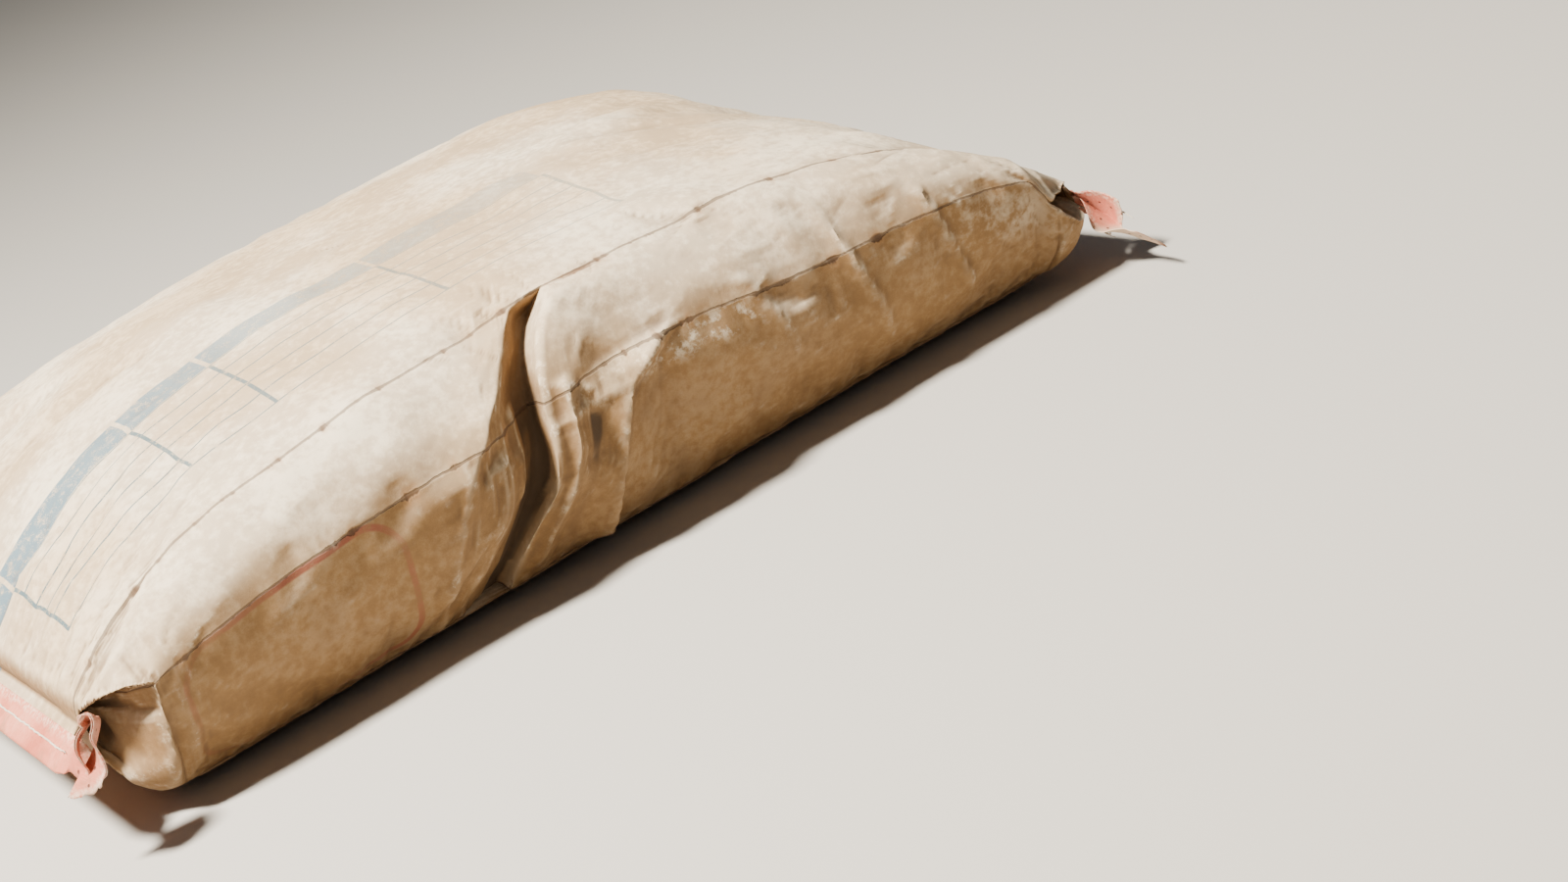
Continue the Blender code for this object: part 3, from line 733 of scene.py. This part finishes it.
def make_tape(end):
    """A strip folded over the flap's edge: two rippled legs joined by a half-round fold.

    The grid runs along the strip, and across it from the upper leg's open edge to the lower
    leg's. Where a leg is torn, its columns run a smaller share of the tail. Ripples lift a leg
    along its normal, most at the open edge. On the tails the legs close up and crumple together.
    """
    frames = tape_frames(end)
    radius = 0.5 * FLAP_THICKNESS + TAPE_CLEARANCE
    far, near = (TAILS[f"{end}_{tail}"][0] for tail in ("far", "near"))
    whole = frames[0][-1]
    leg = np.linspace(TAPE_LEG, 0, LEG_COLUMNS + 1)[:-1]
    flat = np.ones(LEG_COLUMNS)
    turn = np.concatenate([flat, np.linspace(1, -1, FOLD_COLUMNS), -flat])
    inset = np.concatenate([leg, np.zeros(FOLD_COLUMNS), leg[::-1]])
    across = inset / TAPE_LEG
    rng = np.random.default_rng(17 if end == "head" else 18)
    lengths = np.linspace(0, whole, int(whole / TAPE_STEP) + 1)[:, None]
    from_far, from_near = far - lengths, lengths - (whole - near)
    for tail, past, sign in (("far", from_far, -1), ("near", from_near, 1)):
        upper, lower = (np.interp(across, (0, 0.5, 1), torn) for torn in TORN[f"{end}_{tail}"])
        kept = 0.5 * ((1 + turn) * upper + (1 - turn) * lower)
        kept = kept * (1 - 0.03 * rng.uniform(0, 1, len(inset)))
        lengths = lengths + np.where(past > 0, sign * past * (kept - 1), 0)

    past_corner = np.maximum(from_far, from_near)
    loose = ease(past_corner, 0, 0.02)
    upper, lower = gathers(lengths + 0.3 * inset, 21, 9), gathers(lengths - 0.2 * inset, 22, 9)
    ripple = np.abs(np.where(turn > 0, upper, lower))
    lift = (0.00012 + 0.0009 * across ** 2) * ripple * (1 - 0.9 * loose)
    stitched = np.sin(TURN * lengths / STITCH_PITCH) * bell(inset - STITCH_INSET, 0.0035)
    pucker = 0.00022 * stitched * (1 - loose)
    crumple = 0.0003 * loose * np.sign(turn) * gathers(lengths + 0.9 * inset, 23, 7)
    offset = radius - 0.0017 * ease(past_corner, 0, 0.008)
    offset = offset + (lift + pucker + crumple) * np.minimum(1, across * 3)
    points = tape_point(frames, lengths, np.broadcast_to(inset, lengths.shape), offset, turn)

    bent = np.abs(np.diff(inset)) + 0.5 * pi * radius * np.abs(np.diff(turn))
    over = np.concatenate([[0], np.cumsum(bent)])
    wide = over[-1]
    paper = np.stack([lengths, np.broadcast_to(over - 0.5 * wide, lengths.shape)], axis=-1)
    from_tip = np.minimum(lengths - lengths[:1], lengths[-1:] - lengths)
    dusted = ease(from_near, 0.03, 0.042) * (turn < 0) * (end == "head")
    marks = {"torn": ease(from_tip, 0.007, 0), "loose": loose, "dusted": dusted}
    marks = {mark: np.broadcast_to(values, lengths.shape) for mark, values in marks.items()}
    tape = surface(f"{end}_sewing_tape", points, paper, marks=marks)
    wall = tape.modifiers.new("thickness", "SOLIDIFY")
    wall.thickness = TAPE_THICKNESS
    wall.offset = 0
    dress(tape, f"{end}_tape", CREPE)


def cord_surface(name, path, normals, radius):
    """A laid thread along a path: its section is a ring of plies that turns once in each lay.

    The radius at an angle is radius x (0.86 + 0.14 |cos(plies/2 x (angle - turn))|), where turn
    grows by one whole turn in a lay's length.
    """
    lengths = run_along(path)
    tangent = unit(np.gradient(path, axis=0))
    normals = unit(normals - tangent * np.sum(normals * tangent, axis=1, keepdims=True))
    side = np.cross(tangent, normals)
    angles = np.linspace(0, TURN, 13)[:-1]
    turn = TURN * lengths / THREAD_LAY
    swell = 0.86 + 0.14 * np.abs(np.cos(0.5 * THREAD_PLIES * (angles - turn[:, None])))
    reach = (radius[:, None] * swell)[..., None]
    across, up = np.cos(angles)[:, None], np.sin(angles)[:, None]
    points = path[:, None] + reach * (normals[:, None] * across + side[:, None] * up)
    paper = np.stack(np.broadcast_arrays(lengths[:, None], angles * 0.0002), axis=-1)
    return surface(name, points, paper, turn=0.0012, capped=True)


def make_thread(end, kind):
    """One thread of the chain stitch, along one face of the tape.

    The needle thread runs straight and dips into a hole at every stitch. The looper thread goes
    forward by stitches while it circles, as (a sin t, b cos t), which draws a chain of loops.
    """
    frames = tape_frames(end)
    start = TAILS[end + "_far"][0] * (1 - 0.8 * THREAD_REACH[end + "_far"])
    finish = frames[0][-1] - TAILS[end + "_near"][0] * (1 - THREAD_REACH[end + "_near"])
    stitches = (finish - start) / STITCH_PITCH
    face = 0.5 * FLAP_THICKNESS + TAPE_CLEARANCE + 0.5 * TAPE_THICKNESS
    radius = 0.5 * THREAD_DIAMETER
    needle = kind == "needle"
    phase = np.linspace(0, stitches, int(stitches * (22 if needle else 34)))
    lengths = start + phase * STITCH_PITCH
    if needle:
        rise = np.clip(np.sin(pi * (phase % 1)), 0, 1) ** 0.35
        offset = face + radius * (-1 + 2.1 * rise)
        inset = STITCH_INSET + 0.00025 * gathers(lengths, 31, 6)
        turn = 1
    else:
        circle = TURN * phase
        lengths = lengths + 0.0031 * np.sin(circle)
        inset = STITCH_INSET + 0.001 * np.cos(circle) + 0.0002 * gathers(lengths, 32, 6)
        offset = face + radius * (1.1 + 0.9 * np.sin(circle + 0.9))
        turn = -1
    path = tape_point(frames, lengths, inset, offset, turn)
    normals = frames_at(frames, lengths)[2] * turn
    tip = 0.35 + 0.65 * ease(finish - start - phase * STITCH_PITCH, 0, 0.01)
    thread = cord_surface(f"{end}_{kind}_stitches", path, normals, radius * tip)
    dress(thread, f"{end}_{kind}_thread", THREAD)


def worked(operation, swapped=False):
    """An operator that adds a Math node to the tree of the value it is used on."""
    def operator(value, *others):
        values = (*others, value) if swapped else (value, *others)
        return value.finish.node("ShaderNodeMath", values, operation=operation)
    return operator


class Value:
    """A socket in a finish's node tree, which adds Math nodes when it is worked with."""

    def __init__(self, finish, socket):
        self.finish, self.socket = finish, socket

    __add__ = __radd__ = worked("ADD")
    __sub__ = worked("SUBTRACT")
    __rsub__ = worked("SUBTRACT", swapped=True)
    __mul__ = __rmul__ = worked("MULTIPLY")
    __truediv__ = worked("DIVIDE")
    __pow__ = worked("POWER")
    __abs__ = worked("ABSOLUTE")
    least = worked("MINIMUM")
    most = worked("MAXIMUM")
    swing = worked("PINGPONG")


class Finish:
    """One material, built up from nodes."""

    def __init__(self, name):
        self.material = bpy.data.materials.new(name)
        self.material.use_nodes = True
        self.tree = self.material.node_tree
        self.tree.nodes.clear()

    def node(self, kind, inputs=(), output=0, stops=(), **settings):
        """Adds a node: settings and ramp stops first, then the values or links of its sockets."""
        node = self.tree.nodes.new(kind)
        for key, value in settings.items():
            setattr(node, key, value)
        for place, (position, colour) in enumerate(stops):
            ramp = node.color_ramp.elements
            element = ramp[place] if place < len(ramp) else ramp.new(position)
            element.position, element.color = position, (*colour, 1)
        items = inputs.items() if isinstance(inputs, dict) else enumerate(inputs)
        for key, value in items:
            target = node.inputs[key]
            if isinstance(value, Value):
                self.tree.links.new(value.socket, target)
            else:
                colour = target.type == "RGBA" and len(value) == 3
                target.default_value = (*value, 1) if colour else value
        return Value(self, node.outputs[output] if node.outputs else None)

    def places(self):
        """Each point's place on the piece, and its place on the unrolled paper."""
        return self.node("ShaderNodeTexCoord", output="Object"), self.node("ShaderNodeUVMap", uv_map="paper")

    def stretch(self, vector, factors):
        return self.node("ShaderNodeVectorMath", [vector, factors], operation="MULTIPLY")

    def parts(self, vector):
        split = self.node("ShaderNodeSeparateXYZ", [vector])
        return [Value(self, socket) for socket in split.socket.node.outputs]

    def marks(self, *names):
        """Numbers that the mesh carries at each of its points."""
        return [self.node("ShaderNodeAttribute", output="Fac", attribute_name=name) for name in names]

    def noise(self, vector, scale, detail=4, roughness=0.55, output=0):
        inputs = {"Vector": vector, "Scale": scale, "Detail": detail, "Roughness": roughness}
        return self.node("ShaderNodeTexNoise", inputs, output=output)

    def step(self, value, low, high):
        """Smoothly from 0 at low to 1 at high, where low may be the greater."""
        if low > high:
            return 1 - self.step(value, high, low)
        inputs = {"Value": value, "From Min": low, "From Max": high}
        return self.node("ShaderNodeMapRange", inputs, interpolation_type="SMOOTHSTEP")

    def window(self, value, low, high, soft=0.0006):
        """1 from low to high and 0 beyond, over a soft edge."""
        return self.step(value, low - soft, low + soft) * self.step(value, high + soft, high - soft)

    def tones(self, value, stops):
        return self.node("ShaderNodeValToRGB", [value], stops=stops)

    def mix(self, share, first, second):
        return self.node("ShaderNodeMix", {0: share, 6: first, 7: second}, output=2, data_type="RGBA")

    def coats(self, colour, *layers):
        """Lays colours over a colour in turn, each by its own share."""
        for share, layer in layers:
            colour = self.mix(share, colour, layer)
        return colour

    def shade(self, colour, roughness, *relief):
        """The Principled shader on the output. Relief is a bump's height, distance and strength."""
        inputs = {"Base Color": colour, "Roughness": roughness}
        if relief:
            bump = dict(zip(("Height", "Distance", "Strength"), relief))
            inputs["Normal"] = self.node("ShaderNodeBump", bump)
        shader = self.node("ShaderNodeBsdfPrincipled", inputs)
        self.node("ShaderNodeOutputMaterial", {"Surface": shader})
        return self.material


KRAFT_TONES = ((0.34, (0.158, 0.081, 0.026)), (0.5, (0.23, 0.123, 0.042)), (0.66, (0.328, 0.191, 0.073)))
CREPE_TONES = ((0.34, (0.5, 0.118, 0.07)), (0.5, (0.66, 0.205, 0.132)), (0.66, (0.79, 0.355, 0.25)))
WARM_DUST, WHITE_DUST = (0.74, 0.58, 0.38), (0.89, 0.79, 0.615)
RULE_INK, BAND_INK, FRAME_INK = (0.06, 0.12, 0.15), (0.06, 0.15, 0.22), (0.23, 0.055, 0.03)

# The ruled table, on the unrolled paper: its posts along the sack, the rows' reach and pitch round
# it, and the heading band's reach
TABLE_POSTS = (-0.328, -0.22, -0.162, -0.047, 0.073)
TABLE_ROWS = (0.0445, 0.1355)
TABLE_PITCH = 0.009
TABLE_BAND = (0.136, 0.163)

# Where the paper is cracked along its folds: place round it, strength, and how much wider
CRACKED_FOLDS = (
    (0, 1, 0.0004), (-LEGS[0], 1, 0), (-LEGS[0] - LEGS[1], 1, 0),
    (PANEL_WIDTH, 1, 0), (PANEL_WIDTH + LEGS[0], 0.8, 0),
)


def printed_table(finish, u, v):
    """Masks of a plain ruled table: its thin rules and its solid heading band."""
    from_post = reduce(Value.least, [abs(u - post) for post in TABLE_POSTS])
    from_row = (v - 5 * TABLE_PITCH).swing(TABLE_PITCH)
    right = TABLE_POSTS[-1] + 0.001
    across = finish.window(v, *TABLE_ROWS)
    inside = finish.window(u, TABLE_POSTS[0] - 0.001, right)
    rows = finish.step(from_row, 0.0009, 0.0004) * inside * across
    columns = finish.step(from_post, 0.0015, 0.001) * across
    band = finish.window(v, *TABLE_BAND) * finish.window(u, -0.4, right)
    return rows.most(columns), band * finish.step(from_post, 0.0012, 0.0018)


def printed_frame(finish, u, v):
    """Mask of a rounded rectangle's outline, by its distance: |length(max(q, 0)) - radius|.

    q is how far a point lies beyond the rectangle that is smaller by the corner's radius.
    """
    q_u = (abs(u + 0.2275) - 0.0505).most(0)
    q_v = (abs(v + 0.1135) - 0.0235).most(0)
    distance = (q_u * q_u + q_v * q_v) ** 0.5 - 0.02
    return finish.step(abs(distance), 0.0024, 0.0012)


def paper_finish():
    """Kraft paper: cloudy ochre fibres under dust, faded print, cracked and worn folds, and painted light
    and shade.
    """
    finish = Finish("kraft_paper_dusty")
    noise, step, window = finish.noise, finish.step, finish.window
    place, sheet = finish.places()
    u, v, _ = finish.parts(sheet)
    ridge, hollow, deep, upward = finish.marks("ridge", "hollow", "deep", "upward")

    clouds = noise(place, 7, 5)
    floc = noise(place, 170, 4, 0.6)
    fibre = noise(finish.stretch(sheet, (900, 1900, 1)), 1, 3, 0.65)
    stain = noise(place, 16, 6, 0.65)
    wander = noise(finish.stretch(sheet, (60, 14, 1)), 1, 4, 0.6)
    kraft = finish.tones(0.45 * clouds + 0.3 * floc + 0.25 * fibre, KRAFT_TONES)
    kraft = finish.mix(step(stain, 0.56, 0.74) * 0.4, kraft, (0.165, 0.082, 0.028))

    # Cement dust, thick on what faces up, in patches elsewhere, and more below the near folds; by facing it
    # also paints light: the top lighter and the downward faces darker as painted shade
    # Dust by facing up: partly real dust, partly painted light that makes the top lighter and downward faces
    # darker
    upward_dust_and_light = 0.74 * step(upward, 0, 0.78)
    patches = step(0.55 * stain + 0.45 * floc, 0.44, 0.6)
    rubbed = step(noise(place, 70, 6, 0.7), 0.5, 0.62)
    below_fold = window(v, -0.082, -0.07, 0.006) * window(u, -0.03, 0.09, 0.02) * rubbed
    near_head = window(v, -0.102, -0.072, 0.01) * window(u, 0.235, 0.31, 0.03) * patches
    below_fold += 0.42 * near_head
    dust = (upward_dust_and_light * (0.66 + 0.34 * patches) + 0.05 * patches + 0.62 * below_fold).least(0.9)
    dusty = finish.mix(step(clouds, 0.38, 0.6), WARM_DUST, WHITE_DUST)

    # Print, worn off in specks and faded towards the head
    rules, band = printed_table(finish, u + 0.0014 * (wander - 0.5), v)
    worn = step(0.5 * floc + 0.5 * fibre, 0.36, 0.5)
    faded = step(u, 0.14, -0.3)
    rim = printed_frame(finish, u + 0.003 * (stain - 0.5), v) * worn * step(clouds + 0.5 * stain, 0.56, 0.94)

    # Folds: a thin dark crack that wanders, stained brown beside it
    opened = step(wander, 0.5, 0.7)
    cracks, browns = [], []
    for fold, strength, wider in CRACKED_FOLDS:
        off = abs(v - fold + 0.0036 * (wander - 0.5))
        line = step(off / (0.00065 + 0.0016 * opened + wider), 1.4, 0.6)
        cracks.append(line * (0.72 + 0.28 * opened) * strength)
        browns.append(step(off, 0.0075, 0.0005) * opened * strength)
    crack, stained = reduce(Value.most, cracks), reduce(Value.most, browns)

    # Wear: scuffed pale fibres on the ridges, a rubbed spot and a slot worn through by the buckle
    scuff = step(noise(place, 120, 5, 0.7), 0.52, 0.62)
    facing = 0.35 + 0.65 * step(upward, -0.4, 0.2)
    spot = window(u, -0.01, 0.02, 0.008) * window(v, -0.007, 0.001, 0.003) * scuff
    across_slot = window(v + 0.004 * (wander - 0.5), -0.0032, 0.0006, 0.0008)
    slot = window(u, -0.002, 0.022, 0.012) * across_slot
    colour = finish.coats(
        kraft,
        (dust, dusty),
        (rules * worn * (0.45 + 0.5 * faded), RULE_INK),
        (band * worn * (0.22 + 0.66 * faded), BAND_INK),
        (0.9 * rim, FRAME_INK),
        (0.55 * stained, (0.4, 0.18, 0.06)),
        (ridge * facing * (0.25 + 0.6 * scuff), (0.72, 0.59, 0.42)),
        (0.8 * spot, (0.33, 0.15, 0.05)),
        (0.85 * slot, (0.14, 0.06, 0.022)),
        # Painted shade: darker in the hollows and deep creases, where shade falls
        ((hollow * 0.6).most(deep * 0.75), (0.13, 0.07, 0.03)),
        # Painted shade: the deep groove's lower part nearly black, as its dark shade
        (0.75 * step(deep, 0.55, 1) * step(v, -0.04, -0.08), (0.04, 0.024, 0.012)),
        (crack * 0.9, (0.06, 0.028, 0.012)),
    )

    # Relief: fibres, cockles, and a net of small straight creases where the paper was crumpled
    wavy = finish.stretch(noise(place, 14, output="Color"), (0.03, 0.03, 0.03))
    bent = finish.node("ShaderNodeVectorMath", [place, wavy], operation="ADD")
    net = {"Vector": bent, "Scale": 26}
    net = finish.node("ShaderNodeTexVoronoi", net, feature="DISTANCE_TO_EDGE").least(0.35)
    crumpled = step(noise(place, 5, 2), 0.4, 0.66)
    height = 0.16 * fibre + 0.2 * floc + 0.9 * noise(place, 48, 3) + 1.6 * net * crumpled - 0.8 * crack
    return finish.shade(colour, 0.8 + 0.12 * floc + 0.06 * dust, height, 0.0011, 0.8)


def crepe_finish():
    """Crepe paper: fine ripples across the strip, faded and dirtied, with needle holes, and painted shade on
    the loose tails and a dusted tip.
    """
    finish = Finish("crepe_paper_salmon")
    noise, step = finish.noise, finish.step
    place, strip = finish.places()
    s, w, _ = finish.parts(strip)
    torn, loose, dusted = finish.marks("torn", "loose", "dusted")
    clouds = noise(place, 32, 5)
    speck = noise(place, 420, 4, 0.7)
    ripple = noise(finish.stretch(strip, (2100, 190, 1)), 1, 3, 0.6)
    edge = step(abs(w), 0.015, 0.0205)
    dirt = step(noise(place, 60, 5, 0.7), 0.52, 0.7)
    across_hole = abs(w) - (STITCH_INSET + 0.0031)
    hole = (s.swing(0.5 * STITCH_PITCH) ** 2 + across_hole ** 2) ** 0.5
    hole = step(hole, 0.0011, 0.0005)
    colour = finish.coats(
        finish.tones(0.55 * clouds + 0.25 * ripple + 0.2 * speck, CREPE_TONES),
        (edge * step(speck, 0.42, 0.6) * 0.6, (0.8, 0.64, 0.5)),
        (torn * step(speck, 0.36, 0.54) * 0.8, (0.76, 0.64, 0.5)),
        # Dirt in patches, and the loose tails darker: partly dirt and partly painted shade
        (0.55 * dirt + 0.4 * loose * step(clouds, 0.36, 0.6), (0.3, 0.165, 0.095)),
        (dusted * (1 - torn) * 0.8, (0.74, 0.59, 0.43)),
        # Painted shade: the dusted leg's torn tip painted brown
        (dusted * torn * 0.85, (0.19, 0.095, 0.05)),
        (0.85 * hole, (0.07, 0.025, 0.015)),
    )
    height = 0.55 * ripple + 0.2 * speck + 0.5 * clouds - 0.8 * hole
    return finish.shade(colour, 0.8 + 0.12 * speck, height, 0.0009, 0.9)


def thread_finish():
    """Spun thread: off-white fibres, greyed with dust."""
    finish = Finish("spun_thread_off_white")
    place, strip = finish.places()
    fuzz = finish.noise(finish.stretch(strip, (1800, 9000, 1)), 1, 3, 0.7)
    dust = finish.step(finish.noise(place, 90, 4), 0.42, 0.64)
    colour = finish.mix(finish.step(fuzz, 0.35, 0.65), (0.56, 0.5, 0.4), (0.83, 0.79, 0.7))
    colour = finish.mix(0.45 * dust, colour, (0.52, 0.4, 0.27))
    return finish.shade(colour, 0.82 + 0.1 * fuzz, fuzz, 0.00025, 0.9)


def make_floor():
    mesh = bpy.data.meshes.new("floor")
    corners = [(x * FLOOR_REACH, y * FLOOR_REACH, 0) for x, y in ((-1, -1), (1, -1), (1, 1), (-1, 1))]
    mesh.from_pydata(corners, [], [(0, 1, 2, 3)])
    mesh.materials.append(Finish("floor_pale").shade((0.48, 0.46, 0.43), 0.9))
    add("floor", mesh)


def make_lamp(name, place, width, power, colour):
    """A round soft lamp that faces the sack."""
    light = bpy.data.lights.new(name, "AREA")
    light.shape, light.size, light.energy, light.color = "DISK", width, power, colour
    lamp = add(name, light)
    lamp.location = place
    lamp.rotation_mode = "QUATERNION"
    lamp.rotation_quaternion = (-lamp.location).to_track_quat("-Z", "Y")


def make_camera():
    """The camera from its axes: right and up in the picture, and the direction of view."""
    azimuth, elevation, roll = (radians(angle) for angle in CAMERA_ANGLES)
    level = cos(elevation)
    ahead = np.array([sin(azimuth) * level, cos(azimuth) * level, -sin(elevation)])
    across = unit(np.cross(ahead, [0, 0, 1]))
    upright = np.cross(across, ahead)
    right = across * cos(roll) + upright * sin(roll)
    up = upright * cos(roll) - across * sin(roll)
    place = np.array(CAMERA_CENTRE) + np.array(CAMERA_OFFSET) @ [ahead, right, up]
    data = bpy.data.cameras.new("camera")
    data.sensor_width, data.lens = 36, CAMERA_LENS
    camera = add("camera", data)
    turn = np.eye(4)
    turn[:3] = np.stack([right, up, -ahead, place], axis=-1)
    camera.matrix_world = Matrix(turn.tolist())
    bpy.context.scene.camera = camera


def make_world():
    world = bpy.data.worlds.new("studio")
    bpy.context.scene.world = world
    world.use_nodes = True
    back = world.node_tree.nodes["Background"].inputs
    back["Color"].default_value = (0.9, 0.92, 0.95, 1)
    back["Strength"].default_value = 0.11


make_camera()
make_world()
make_floor()
for lamp_name, lamp_settings in LAMPS.items():
    make_lamp(lamp_name, *lamp_settings)
make_sack()
CREPE = crepe_finish()
THREAD = thread_finish()
for sewn_end in ("head", "foot"):
    make_tape(sewn_end)
    make_thread(sewn_end, "needle")
    make_thread(sewn_end, "looper")
bpy.context.view_layer.update()
